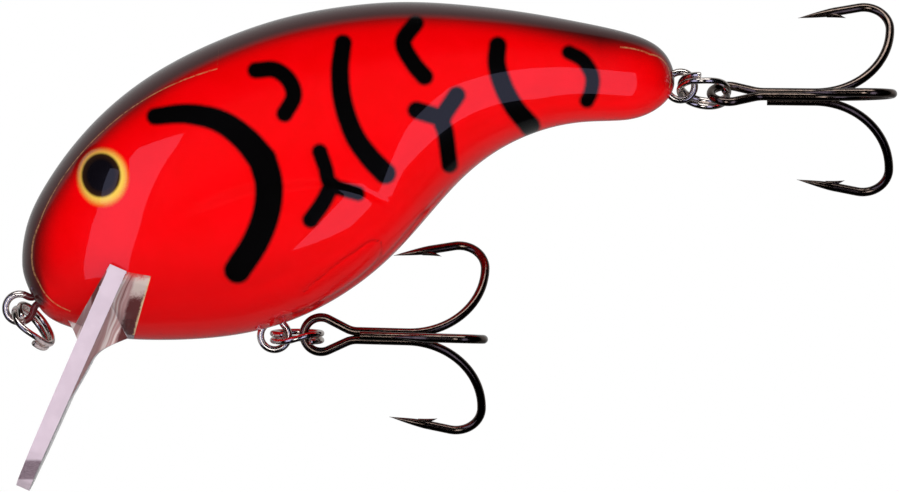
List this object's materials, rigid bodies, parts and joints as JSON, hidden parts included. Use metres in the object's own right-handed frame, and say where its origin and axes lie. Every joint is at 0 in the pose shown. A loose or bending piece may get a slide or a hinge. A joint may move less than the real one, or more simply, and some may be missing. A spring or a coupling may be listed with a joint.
{
  "type": "crankbait lure",
  "caption": "Deep-bodied crankbait fishing lure with a clear diving lip, a line-tie ring and two treble hooks that swing on split rings.",
  "frame": {"origin": "centre of the line-tie eye at the nose", "axes": "+X from the nose to the tail, +Z to the fish's back, +Y to its right side; the middle plane is Y = 0"},
  "size_m": [0.0894, 0.022, 0.0489],
  "materials": {
    "painted_shell": "red lacquer under a clear gloss coat, dark back and airbrushed black strokes",
    "clear_plastic": "clear moulded polycarbonate",
    "bright_wire": "bright stainless wire",
    "ring_steel": "nickel plated spring steel",
    "hook_steel": "bronzed, smooth and glossy",
    "ballast_metal": "dull grey casting",
    "ball_steel": "polished ball"
  },
  "bodies": {
    "lure_body": {"left_shell": "painted_shell", "right_shell": "painted_shell", "diving_lip": "clear_plastic", "line_tie": "bright_wire", "belly_hanger": "bright_wire", "tail_hanger": "bright_wire", "ballast_weight": "ballast_metal"},
    "line_ring": {"line_tie_split_ring": "ring_steel"},
    "belly_ring": {"belly_split_ring": "ring_steel"},
    "belly_treble": {"belly_treble_double_hook": "hook_steel", "belly_treble_single_hook": "hook_steel"},
    "tail_ring": {"tail_split_ring": "ring_steel"},
    "tail_treble": {"tail_treble_double_hook": "hook_steel", "tail_treble_single_hook": "hook_steel"},
    "rattle_front": {"rattle_ball_front": "ball_steel"},
    "rattle_middle": {"rattle_ball_middle": "ball_steel"},
    "rattle_rear": {"rattle_ball_rear": "ball_steel"}
  },
  "joints": [
    {"name": "line_ring_swing", "type": "hinge", "parent": "lure_body", "child": "line_ring", "pos_m": [0, 0, 0], "axis": [0, 1, 0], "range_deg": [-5, 180]},
    {"name": "belly_ring_swing", "type": "hinge", "parent": "lure_body", "child": "belly_ring", "pos_m": [0.0255, 0, -0.00276], "axis": [0, 1, 0], "range_deg": [0, 95]},
    {"name": "belly_treble_swing", "type": "hinge", "parent": "belly_ring", "child": "belly_treble", "pos_m": [0.02775, 0, -0.00288], "axis": [0, -0.0698, 0.9976], "range_deg": [-25, 25]},
    {"name": "tail_ring_swing", "type": "hinge", "parent": "lure_body", "child": "tail_ring", "pos_m": [0.0661, 0, 0.0222], "axis": [0, 1, 0], "range_deg": [-45, 30]},
    {"name": "tail_treble_swing", "type": "hinge", "parent": "tail_ring", "child": "tail_treble", "pos_m": [0.06843, 0, 0.02172], "axis": [0.1652, 0.5, 0.8501], "range_deg": [-20, 20]},
    {"name": "rattle_front_slide", "type": "slide", "parent": "lure_body", "child": "rattle_front", "axis": [0, 1, 0], "range_m": [-0.0046, 0.0046]},
    {"name": "rattle_middle_slide", "type": "slide", "parent": "lure_body", "child": "rattle_middle", "axis": [0, 1, 0], "range_m": [-0.0044, 0.0044]},
    {"name": "rattle_rear_slide", "type": "slide", "parent": "lure_body", "child": "rattle_rear", "axis": [0, 1, 0], "range_m": [-0.0026, 0.0026]}
  ]
}
